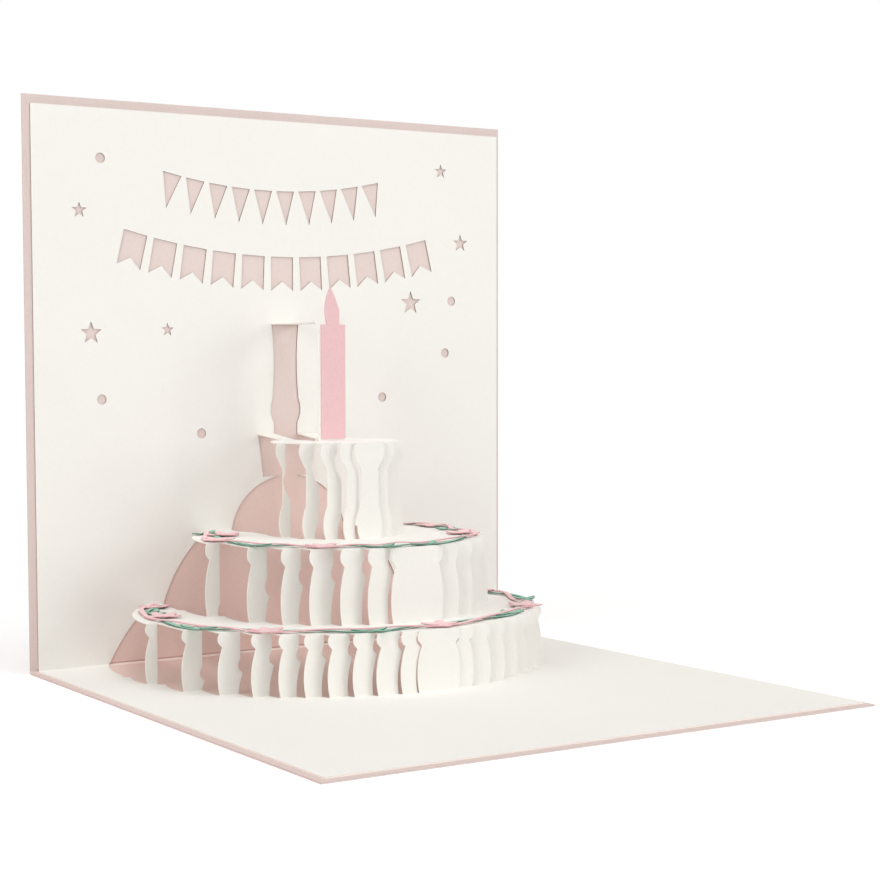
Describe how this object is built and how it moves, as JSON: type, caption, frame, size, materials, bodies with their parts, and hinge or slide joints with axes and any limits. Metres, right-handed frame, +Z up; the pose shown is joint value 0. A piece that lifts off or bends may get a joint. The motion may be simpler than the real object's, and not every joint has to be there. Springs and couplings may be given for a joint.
{
  "type": "pop up card",
  "caption": "Pop up greeting card opened to a right angle: a folded cover holding a cut and folded sheet that stands up as a tiered round cake with a candle and paper garlands",
  "frame": {"origin": "middle of the underside of the box that holds the opened card, on the base panel's underside", "axes": "+X to the right along the fold, +Y towards the upright back panel, +Z up"},
  "size_m": [0.15, 0.15, 0.15],
  "materials": {
    "cover_card": "matte dusty pink card",
    "insert_paper": "matte white card",
    "candle_paper": "matte pink paper",
    "flower_paper": "matte light pink paper",
    "leaf_paper": "matte sage green paper"
  },
  "bodies": {
    "root": {"cover": "cover_card", "insert": "insert_paper", "candle": "candle_paper", "lower_flower_garland": "flower_paper", "lower_leaf_garland": "leaf_paper", "upper_flower_garland": "flower_paper", "upper_leaf_garland": "leaf_paper"}
  },
  "joints": []
}
